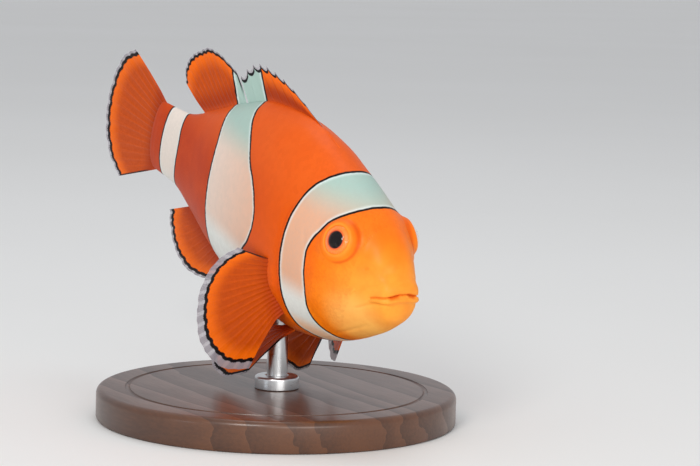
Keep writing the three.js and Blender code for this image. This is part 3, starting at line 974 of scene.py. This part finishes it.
def scale_roots(start, end, columns):
    """Where the scales are rooted: shares along and round, the column width and the relief."""
    rows, at = [], start
    while at < end:
        shares = (np.arange(columns) + 0.5 * (len(rows) % 2) + 0.25) / columns
        ways, girth = ways_round(at, shares)
        pitch = girth / columns
        rows.append([np.full(columns, at), shares, np.full(columns, pitch), *ways.T])
        at += ROW_PITCH * pitch / LENGTH
    at, shares, pitch, *ways = np.concatenate(rows, axis=1)
    places, _ = skin_place(np.stack(ways, axis=-1))
    folded = on_left(places)
    _, from_axis = from_eye(places)
    from_gills, behind, _ = nearest(folded, GILL_LINE)
    bare_at_gills = np.where(behind < 0, *BARE_AT_GILLS)
    chin = np.clip(-places[:, 2] - 3, 0, 9) * 0.35  # bare further back under the chin
    scaled = np.minimum(BARE_SNOUT - chin - places[:, 0], from_axis - BARE_ROUND_EYE)
    relief = 0.3 + 0.7 * smoothstep(scaled, 0, 4)
    keep = (scaled > 0) & (from_gills > bare_at_gills)
    return np.stack([at, shares, pitch, relief], axis=-1)[keep]


def guide_sheet(name, start, end):
    """The skin between two places along the body, as a sheet that keeps its flat layout."""
    along, round_body = [np.linspace(-GUIDE_MARGIN, 1 + GUIDE_MARGIN, n) for n in GUIDE_POINTS]
    rings = [ways_round(start + (end - start) * share, round_body)[0] for share in along]
    points, outward = skin_place(np.concatenate(rings))
    faces = grid_faces(len(along), len(round_body))[:, [0, 3, 2, 1]]
    flat_along, flat_round = np.meshgrid(along, round_body, indexing="ij")
    layout = np.stack([flat_along, flat_round, 0 * flat_along], -1)
    turned_out = (in_row(outward) - in_row(np.zeros(3))) * 1000
    measures = {"layout": layout, "outward": turned_out}
    return piece(name, in_row(points), faces, measures=measures)


def scale_plate():
    """One scale in widths of a column: X to its free edge, Y across and Z up."""
    angle = (np.arange(PLATE_CORNERS) + 0.5) * 2 * math.pi / PLATE_CORNERS
    outline = np.stack([PLATE_HALF_LENGTH * np.cos(angle), PLATE_HALF_WIDTH * np.sin(angle)], -1)
    flat = np.concatenate([outline, outline * PLATE_TOP, [[0, 0]]])
    flat[:, 0] += PLATE_MIDDLE
    height = PLATE_LIFT + PLATE_TILT * flat[:, 0]
    height[:PLATE_CORNERS] = -PLATE_ROOT
    height[-1] += PLATE_DOME
    low = np.arange(PLATE_CORNERS)
    low_after = (low + 1) % PLATE_CORNERS
    high, high_after = low + PLATE_CORNERS, low_after + PLATE_CORNERS
    rim = np.stack([low, low_after, high_after, high], -1).tolist()
    top = np.stack([high, high_after, 0 * low + 2 * PLATE_CORNERS], -1).tolist()
    faces = [low[::-1].tolist(), *rim, *top]
    return piece("scale_plate", np.column_stack([flat, height]), faces)


def scale_tree():
    """Sets a plate on each root, and lays the flat field of plates on the guide sheet."""
    tree = bpy.data.node_groups.new("lay_scales", "GeometryNodeTree")
    net = Net(tree)
    tree.interface.new_socket("Scales", in_out="OUTPUT", socket_type="NodeSocketGeometry")
    inputs = {
        "Roots": "NodeSocketGeometry",
        "Plate": "NodeSocketObject",
        "Guide": "NodeSocketObject",
        "Finish": "NodeSocketMaterial",
        "Bake Patch": "NodeSocketFloat",
        "Unevenness": "NodeSocketFloat",
        "Seed": "NodeSocketInt",
    }
    for name, kind in inputs.items():
        tree.interface.new_socket(name, in_out="INPUT", socket_type=kind)
    given = net.node("NodeGroupInput", {}, {})

    def held(name):
        settings = {"data_type": "FLOAT_VECTOR"}
        return net.node("GeometryNodeInputNamedAttribute", settings, {"Name": name})

    def kept(geometry, name, value, kind="FLOAT_VECTOR", domain="POINT"):
        settings = {"data_type": kind, "domain": domain}
        sockets = {"Geometry": geometry, "Name": name, "Value": value}
        return net.node("GeometryNodeStoreNamedAttribute", settings, sockets)

    def shape_of(name):
        return net.node("GeometryNodeObjectInfo", {}, {"Object": given[name]})["Geometry"]

    def any_between(low, high, seed):
        sockets = {"Min": low, "Max": high, "Seed": seed}
        return net.node("FunctionNodeRandomValue", {"data_type": "FLOAT"}, sockets)

    def times(vector, number):
        sockets = {0: vector, "Scale": number}
        return net.node("ShaderNodeVectorMath", {"operation": "SCALE"}, sockets)

    place = net.node("GeometryNodeInputPosition", {}, {})
    uneven = any_between(1.0 - given["Unevenness"], 1.0 + given["Unevenness"], given["Seed"])
    tone = any_between(0.0, 1.0, given["Seed"] + 1.0)
    roots = kept(kept(given["Roots"], "root", place), "tone", tone, "FLOAT")
    size = net.vectors("MULTIPLY", held("span"), uneven)
    sockets = {"Points": roots, "Instance": shape_of("Plate"), "Scale": size}
    plates = net.node("GeometryNodeInstanceOnPoints", {}, sockets)
    plates = net.node("GeometryNodeRealizeInstances", {}, {"Geometry": plates})
    from_root = net.vectors("SUBTRACT", place, held("root"))
    patch = times(net.vectors("DIVIDE", from_root, held("span")), given["Bake Patch"])
    plates = kept(plates, "OFBake", net.vectors("ADD", held("sheet"), patch), "FLOAT2", "CORNER")
    guide = shape_of("Guide")

    def on_guide(value):
        sockets = {
            "Mesh": guide,
            "Value": value,
            "UV Map": held("layout"),
            "Sample UV": net.vectors("MULTIPLY", place, (1, 1, 0)),
        }
        return net.node("GeometryNodeSampleUVSurface", {"data_type": "FLOAT_VECTOR"}, sockets)

    height = net.node("ShaderNodeSeparateXYZ", {}, {"Vector": place})["Z"]
    laid = net.vectors("ADD", on_guide(place), times(on_guide(held("outward")), height))
    plates = net.node("GeometryNodeSetPosition", {}, {"Geometry": plates, "Position": laid})
    sockets = {"Geometry": plates, "Material": given["Finish"]}
    plates = net.node("GeometryNodeSetMaterial", {}, sockets)
    net.node("NodeGroupOutput", {}, {"Scales": plates})
    return tree


def laid_scales(name, roots, coat, tree, given):
    """The scales on one side of a coat, as a plain mesh."""
    start, end, columns, slot = coat
    at, shares, pitch, relief = roots.T
    along = (at - start) / (end - start)
    half_way = shares * 2 - float(shares.min() > 0.45)
    across = 0 * at + 1 / columns
    span = np.stack([pitch / LENGTH / (end - start), across, relief * pitch / 1000], -1)
    sheet = MAP_MARGIN + (1 - 2 * MAP_MARGIN) * np.stack([along, half_way, 0 * at], -1)
    places = np.stack([along, shares, 0 * at], -1)
    made = piece(f"{name}_roots", places, [], measures={"span": span, "sheet": sheet})
    made.name = name
    maker = made.modifiers.new("lay_scales", "NODES")
    maker.node_group = tree
    for item in tree.interface.items_tree:
        if item.name in given:
            maker[item.identifier] = given[item.name]
    ready = made.evaluated_get(bpy.context.evaluated_depsgraph_get())
    laid = bpy.data.meshes.new_from_object(ready)
    made.modifiers.clear()
    made.data = laid
    laid.shade_smooth()
    laid.set_sharp_from_angle(angle=math.radians(25))
    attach(made, "root")


plate, laying, scale_finish = scale_plate(), scale_tree(), fish_skin("scales")
for number, (coat_name, coat) in enumerate(COATS.items()):
    roots = scale_roots(*coat[:3])
    guide = guide_sheet(f"{coat_name}_guide", *coat[:2])
    for side_name, chosen in (("left", roots[:, 1] < 0.5), ("right", roots[:, 1] >= 0.5)):
        given = {
            "Plate": plate,
            "Guide": guide,
            "Finish": scale_finish,
            "Bake Patch": BAKE_PATCH,
            "Unevenness": 0.05,
            "Seed": 11 + number,
        }
        laid_scales(f"{coat_name}_scales_{side_name}", roots[chosen], coat, laying, given)
    bpy.data.objects.remove(guide)
bpy.data.objects.remove(plate)

# ----------------------------------------
# The eyes: glass eyes, each an opaque ball with a painted iris and a black pupil that bulges a
# little, under a clear glossy cornea. They sit in the head with the lid ring closed round them.
# ----------------------------------------
EYE_OUTLINE = [  # distance from the axis, and height above the cornea's apex, in mm
    (0, -0.3), (0.4, -0.32), (0.75, -0.39), (1.0, -0.49), (1.12, -0.58), (1.17, -0.63),
    (1.23, -0.57), (1.35, -0.56), (1.6, -0.66), (1.85, -0.8), (2.0, -0.92), (2.15, -1.12),
    (2.3, -1.5), (2.35, -2), (2.1, -2.7), (1.4, -3.3), (0.6, -3.5), (0, -3.55),
]
CORNEA_WALL = 0.05
IRIS_RINGS = [  # place as a share of the eye's radius, and colour
    (0.0, paint(8, 4, 5)),
    (0.465, paint(12, 6, 7)),
    (0.485, paint(140, 44, 18)),
    (0.52, paint(238, 88, 30)),
    (0.57, paint(250, 118, 38)),
    (0.66, paint(254, 142, 46)),
    (1.0, paint(254, 146, 40)),
]
IRIS_STREAK = paint(214, 84, 18)


def eye_finish():
    finish = Finish("painted_iris")
    place = fish_frame(finish)
    share = from_eye_axis(finish, place) / EYE_RADIUS
    spokes = finish.noise(place, 5.0, 3.0, 0.7)
    share = share + (spokes - 0.5) * 0.03
    rings = finish.node("ShaderNodeValToRGB", {"stops": IRIS_RINGS}, {"Fac": share})
    streaked = finish.mix(spokes * 0.25, rings, IRIS_STREAK)
    iris, pupil = [
        finish.coat({"Base Color": colour, "Roughness": 0.4, "Specular IOR Level": gloss})
        for colour, gloss in ((streaked, 0.3), (rings, 0.05))
    ]
    return finish.surface(finish.either(finish.rise(share, 0.46, 0.48), pupil, iris))


def cornea_finish():
    finish = Finish("clear_cornea")
    bend = finish.node("ShaderNodeFresnel", {}, {"IOR": 1.34})
    outside = 1 - finish.node("ShaderNodeNewGeometry", {}, {})["Backfacing"]
    clear = finish.node("ShaderNodeBsdfTransparent", {}, {"Color": (1, 1, 1, 1)})
    gloss = finish.node("ShaderNodeBsdfGlossy", {}, {"Color": (1, 1, 1, 1), "Roughness": 0.03})
    return finish.surface(finish.either(bend * outside, clear, gloss))


def eye_turned(name, side, outline, material, segments=64):
    """A shape turned round an eye's axis from its outline of radius and height over the apex."""
    made = turned(name, outline, material, segments)
    axis = Vector(EYE_AXIS * [1, side, 1])
    apex = EYE_APEX * [1, side, 1]
    spin = np.array(axis.to_track_quat("Z", "X").to_matrix())
    local = np.zeros(len(made.data.vertices) * 3)
    made.data.vertices.foreach_get("co", local)
    placed = in_row(local.reshape(-1, 3) * 1000 @ spin.T + apex)
    made.data.vertices.foreach_set("co", placed.ravel())
    made.data.update()
    return made


def cornea_outline():
    """A clear dome with a thin wall, on the surface of the eyeball."""
    radius = np.concatenate([np.linspace(0, 1.6, 12), [1.75, 1.9, 2.0, 2.08]])
    height = EYE_HALF_DEPTH * (np.sqrt(1 - (radius / EYE_RADIUS) ** 2) - 1)
    outer = list(zip(radius, height))
    inner = [(r * 0.985, h - CORNEA_WALL) for r, h in reversed(outer)]
    return outer + inner


iris_finish, clear_finish = eye_finish(), cornea_finish()
for side_name, side in (("left", 1), ("right", -1)):
    ball = eye_turned(f"eyeball_{side_name}", side, EYE_OUTLINE, iris_finish)
    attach(ball, "root")
    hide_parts(f"eye_{side_name}")
    cornea = eye_turned(f"cornea_{side_name}", side, cornea_outline(), clear_finish)
    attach(cornea, "root")

# ----------------------------------------
# The fins: thin webs of skin cast over rays that fan out from the body. Stiff plain spines stand
# in the front of the dorsal fin, and soft rays that fork twice in all the others. Each fin is
# sunk into the body at its root, and has a black band and a clear margin with small scallops.
# ----------------------------------------
ROOT_DEPTH = 1.5  # how far a ray starts under the skin
ROOT_SINK = 1.8  # how far the root of a side fin bends in towards the body
COLUMNS_PER_GAP = 12
FIN_ROWS = 46
WEB_HALF_THICKNESS = (0.12, 0.035)  # at the root and at the margin
RIB_HEIGHT = (0.12, 0.03)
RIB_WIDTH = (0.2, 0.08)
MARGIN_THINNING = (0.4, 1)  # share of the thickness at the margin, and half a mm in from it
ROOT_THINNING = (0.3, 1)  # the same at the skin, and 3 mm out from it
ROW_CROWDING = 0.9  # less than 1 puts the rows closer together towards the margin
SCALLOP_ROUNDING = 0.8
RIPPLE = 0.35  # height of the ripples between the rays, as a share of the fin's slow wave
JAG = 0.16  # how far the edges of the band wander with the rays and the streaks, in mm
LIT_WEB_WIDTH = 3.5  # of the painted light on the web inside the band, in mm
JOINT_RATE = 16.0  # of the fine joints across the rays
FORKS = ((0.38, 0.17), (0.7, 0.085))  # how far out the rays fork, and their spread in gaps
FIN_ROOT_SHADE = paint(172, 54, 0)
FIN_DEEP = paint(160, 54, 0)
FIN_ORANGE_AND_SHADE = paint(214, 84, 0)
FIN_LIT_ORANGE = paint(252, 112, 4)
FIN_BLACK = paint(16, 12, 14)
FIN_CLEAR = paint(190, 184, 190)
FIN_CLEAR_RAY = paint(146, 138, 146)


def fin_finish(name, margin, band, barred):
    """Orange web with a black band inside a clear margin, both widths in mm; painted shade darkens the
    web, most at its root, and painted light brightens it inside the band.
    """
    finish = Finish(name)
    fish = paint_fish(finish)
    ray, lead = finish.measure("ray"), finish.measure("from_lead")
    from_margin, from_root = finish.measure("from_margin"), finish.measure("from_root")
    streaks = finish.noise(fish["place"], 1.6, 4.0, 0.6)
    jagged = from_margin + (ray - 0.5) * JAG + (streaks - 0.5) * JAG
    # Painted light on the web inside the band, and painted shade over the rest, deepest at the root
    lit_near_band = 1 - finish.rise(jagged, margin + band, margin + band + LIT_WEB_WIDTH)
    web = finish.laid_over(
        fish["orange"],
        (finish.rise(from_root, 0.0, 1.5), FIN_ROOT_SHADE),
        (finish.rise(from_root, 1.5, 5.0), FIN_ORANGE_AND_SHADE),
        ((1.0 - ray) * 0.2 + streaks * 0.5, FIN_DEEP),
        (lit_near_band * 0.85, FIN_LIT_ORANGE),
    )
    if barred:
        web = with_bars(finish, fish, web)
    tall = finish.rise(from_root + from_margin, 0.9, 2.6)
    inner = tall * (1 - finish.rise(jagged, margin + band - 0.07, margin + band + 0.09))
    thin = 1 - finish.rise(lead + (streaks - 0.5) * 0.2, 0.1, 0.3)
    dark = finish.most(inner, thin * finish.rise(from_root, 1.0, 4.0))
    outer = tall * (1 - finish.rise(jagged, margin - 0.08, margin + 0.06))
    clear = finish.mix(ray, FIN_CLEAR, FIN_CLEAR_RAY)
    joints = finish.rise(finish.maths("SINE", from_root * JOINT_RATE), 0.6, 1.0) * ray
    wet = finish.coat({
        "Base Color": finish.laid_over(web, (dark, FIN_BLACK), (outer, clear)),
        "Roughness": 0.36 + 0.16 * streaks,
        "Specular IOR Level": 0.12,
        "Normal": finish.bumps(streaks - joints * 0.6, 0.35, 0.00006),
        "Alpha": 1.0 - outer * (0.5 - 0.3 * ray),
        "Coat Weight": 0.04,
        "Coat Roughness": 0.2,
    })
    return finish.surface(wet)


def between(ends, share):
    return ends[0] + (ends[1] - ends[0]) * share


def length_along(lines):
    """Distance along each row of points."""
    steps = np.linalg.norm(np.diff(lines, axis=1), axis=2)
    return np.concatenate([np.zeros((len(lines), 1)), np.cumsum(steps, axis=1)], axis=1)


def fin(name, place, rays, material, spiny=False, scallop=0.12, wave=0.16):
    """A closed fin shell. place(u, v) gives its middle, u along the root and v out along rays."""
    columns = (rays - 1) * COLUMNS_PER_GAP + 1
    u = np.repeat(np.linspace(0, 1, columns)[:, None], FIN_ROWS + 1, axis=1)
    v = np.repeat(np.linspace(0, 1, FIN_ROWS + 1)[None, :] ** ROW_CROWDING, columns, axis=0)
    full = length_along(place(u, v))[:, -1:]
    from_ray = u * (rays - 1) - np.round(u * (rays - 1))
    recess = scallop * np.sin(np.pi * np.abs(from_ray)) ** SCALLOP_ROUNDING
    v = v * (1 - recess / full)
    middle = place(u, v)
    from_root = length_along(middle)
    from_margin = from_root[:, -1:] - from_root
    gap = np.linalg.norm(np.gradient(middle, axis=0), axis=2) * COLUMNS_PER_GAP

    # The thickness: a thin web with a rib along each ray, which parts in two and in four
    spread = [gap * share * smoothstep(v, start, 1.0) * (not spiny) for start, share in FORKS]
    width = between(RIB_WIDTH, v)
    ray = np.zeros_like(u)
    for first in (-1, 1):
        for second in (-1, 1):
            branch = from_ray * gap - first * spread[0] - second * spread[1]
            ray = np.maximum(ray, np.exp(-((branch / width) ** 2)))
    rim = between(MARGIN_THINNING, smoothstep(from_margin, 0, 0.5))
    rim *= between(ROOT_THINNING, smoothstep(from_root, ROOT_DEPTH, ROOT_DEPTH + 3))
    half = (between(WEB_HALF_THICKNESS, v) + between(RIB_HEIGHT, v) * ray) * rim

    # Both sides of the sheet, which ripples more towards its margin, and a strip round its edge
    across = np.gradient(middle, axis=0)
    out = np.gradient(middle, axis=1)
    normal = unit(np.cross(across, out))
    ripple = np.sin(u * (rays - 1) * math.pi) * RIPPLE + np.sin(u * 9.0 + v * 4.0)
    middle = middle + normal * (ripple * wave * v**2)[..., None]
    sheets = [middle + normal * (half * side)[..., None] for side in (1, -1)]
    points = np.concatenate([sheet.reshape(-1, 3) for sheet in sheets])
    number = np.arange(u.size).reshape(u.shape)
    round_edge = [number[:, 0], number[-1, 1:], number[-2::-1, -1], number[0, -2:0:-1]]
    border = np.concatenate(round_edge)
    after = np.roll(border, -1)
    sides = np.stack([border, border + u.size, after + u.size, after], axis=-1)
    front = grid_faces(*u.shape)
    faces = np.concatenate([front, front[:, ::-1] + u.size, sides])
    measures = {
        "ray": ray,
        "from_margin": from_margin,
        "from_root": np.maximum(from_root - ROOT_DEPTH, 0),
        "from_lead": length_along(np.swapaxes(middle, 0, 1)).T,
    }
    measures = {measure: np.tile(values.ravel(), 2) for measure, values in measures.items()}
    made = faced_out(piece(name, in_row(points), faces, material, measures), 60)
    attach(made, "root")
    return made


def evenly(values):
    return smooth_curve(np.linspace(0, 1, len(values)), values)


def median_fin(start, end, up, lean, reach):
    """Places of a fin on the midline, whose rays lean back from upright, in degrees."""
    length = evenly(reach)

    def place(u, v):
        root = body_point(between((start, end), u), up * math.pi / 2)
        angle = np.radians(between(lean, u))
        out = (length(u) + ROOT_DEPTH) * v - ROOT_DEPTH
        return root + np.stack([-np.sin(angle) * out, 0 * out, up * np.cos(angle) * out], axis=-1)

    return place


def paired_fin(side, first, last, swing, drop, reach, bow):
    """Places of a side fin, whose rays run back, swung outwards and dropped, in degrees."""
    length = evenly(reach)
    mirror = np.array([1, side, 1])

    def place(u, v):
        out = (length(u) + ROOT_DEPTH) * v - ROOT_DEPTH
        turn, fall = np.radians(between(swing, u)), np.radians(between(drop, u))
        ray = [-np.cos(turn) * np.cos(fall), np.sin(turn) * np.cos(fall), -np.sin(fall)]
        root = between(np.array([first, last]), u[..., None])
        sunk = ROOT_SINK * (1 - smoothstep(out, -ROOT_DEPTH, 2.2))
        bowed = np.stack([0 * v, bow * v**2 + sunk, 0 * v], axis=-1)
        return (root + np.stack(ray, axis=-1) * out[..., None] - bowed) * mirror

    return place


def tail_place(u, v):
    """Places of the rounded tail fin, fanned out from the end of the stalk."""
    across = 2 * u - 1
    angle = TAIL_SPREAD * across
    out = tail_length(u) * v
    x = -TAIL_ROOT * LENGTH - np.cos(angle) * out
    z = TAIL_LEVEL + TAIL_HALF_ROOT * across + np.sin(angle) * out
    return np.stack([x, 0 * out, z], axis=-1)


TAIL_ROOT = 0.975
TAIL_LEVEL = 0.1
TAIL_HALF_ROOT = 4.9
TAIL_SPREAD = math.radians(24)
tail_length = evenly([13.8, 17.2, 18.6, 18.9, 18.6, 17.2, 13.8])

dorsal_finish = fin_finish("dorsal_web", 0.32, 0.5, True)
plain_finish = fin_finish("fin_web", 0.55, 0.75, False)
wide_finish = fin_finish("pectoral_web", 1.45, 0.72, False)
spines = median_fin(0.32, 0.655, 1, (72, 46), [0.3, 4.8, 6.8, 7.4, 6.6, 4.7])
soft_rays = median_fin(0.665, 0.825, 1, (46, 68), [5.6, 9.2, 11.2, 11.4, 10.2, 7.4])
anal_rays = median_fin(0.63, 0.82, -1, (36, 66), [3.4, 8.0, 10.0, 10.4, 9.4, 6.8])
fins = {
    "dorsal_fin_spiny": fin("dorsal_spines", spines, 11, dorsal_finish, True, 0.7, 0.05),
    "dorsal_fin_soft": fin("dorsal_rays", soft_rays, 14, dorsal_finish),
    "anal_fin": fin("anal_rays", anal_rays, 13, plain_finish),
    "tail_fin": fin("tail_rays", tail_place, 16, plain_finish),
}
for side_name, side in (("left", 1), ("right", -1)):
    pectoral = paired_fin(
        side, (-20.9, 7.6, -2.4), (-19.2, 5.9, -9.2), (16, 34), (7, 66),
        [8.0, 13.2, 16.2, 17.2, 15.8, 11.5], 1.2,
    )
    pelvic = paired_fin(
        side, (-20.6, 3.1, -13.0), (-23.6, 2.3, -13.7), (24, 10), (54, 22),
        [11.0, 15.5, 16.5, 14.5, 10.0], 0.4,
    )
    fins[f"pectoral_fin_{side_name}"] = fin(f"pectoral_rays_{side_name}", pectoral, 17, wide_finish)
    fins[f"pelvic_fin_{side_name}"] = fin(f"pelvic_rays_{side_name}", pelvic, 6, plain_finish)
for node, made in fins.items():
    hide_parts(node)

# ----------------------------------------
# The studio: a pale matt floor under four soft boxes, and a camera with a long lens that looks
# at the fish from ahead, from its right and from a little above.
# ----------------------------------------
floor_finish = Finish("studio_floor")
floor_tone = floor_finish.noise(floor_finish.place(), 6.0)
floor_colour = floor_finish.mix(floor_tone, paint(236, 235, 232), paint(241, 240, 238))
floor_material = floor_finish.surface(floor_finish.coat({"Base Color": floor_colour, "Roughness": 0.8}))
FLOOR_HALF = 6  # in metres
corners = [(x * FLOOR_HALF, y * FLOOR_HALF, 0) for x, y in ((-1, -1), (1, -1), (1, 1), (-1, 1))]
floor = piece("studio_floor_sheet", corners, [(0, 1, 2, 3)], floor_material)

scene = bpy.context.scene
scene.view_settings.view_transform = "Standard"
scene.world = bpy.data.worlds.new("studio_air")
scene.world.use_nodes = True
air = scene.world.node_tree.nodes["Background"]
air.inputs["Color"].default_value = (0.94, 0.96, 1.0, 1)
air.inputs["Strength"].default_value = 0.62


def soft_box(name, place, aim, size, power, colour):
    """An area lamp, places and size in metres."""
    lamp = bpy.data.lights.new(name, "AREA")
    lamp.shape = "ELLIPSE"
    lamp.size, lamp.size_y = size
    lamp.energy = power
    lamp.color = colour
    held = bpy.data.objects.new(name, lamp)
    scene.collection.objects.link(held)
    held.location = place
    held.rotation_euler = (Vector(aim) - Vector(place)).to_track_quat("-Z", "Y").to_euler()


FISH_MIDDLE = (0.0, 0.0, 0.028)
soft_box("key_box", (0.3, -0.38, 0.3), FISH_MIDDLE, (0.16, 0.16), 1.1, (1.0, 0.98, 0.95))
soft_box("fill_box", (0.46, -0.12, 0.09), FISH_MIDDLE, (0.36, 0.14), 0.6, (1.0, 0.98, 0.95))
soft_box("glint_box", (0.01, -0.42, 0.04), FISH_MIDDLE, (0.06, 0.06), 0.05, (0.85, 0.92, 1.0))
soft_box("top_box", (-0.1, 0.1, 0.6), FISH_MIDDLE, (0.3, 0.3), 0.5, (0.95, 0.98, 1.0))

CAMERA_PLACE = (0.29611, -0.19080, 0.06766)
CAMERA_AZIMUTH = math.radians(55.573)
CAMERA_ELEVATION = math.radians(6.537)
CAMERA_ROLL = math.radians(1.483)
lens = bpy.data.cameras.new("camera")
lens.sensor_width = 36.0
lens.lens = 126.9
lens.clip_start = 0.01
camera = bpy.data.objects.new("camera", lens)
scene.collection.objects.link(camera)
camera.matrix_world = (
    Matrix.Translation(CAMERA_PLACE)
    @ Matrix.Rotation(CAMERA_AZIMUTH, 4, "Z")
    @ Matrix.Rotation(math.pi / 2 - CAMERA_ELEVATION, 4, "X")
    @ Matrix.Rotation(CAMERA_ROLL, 4, "Z")
)
scene.camera = camera
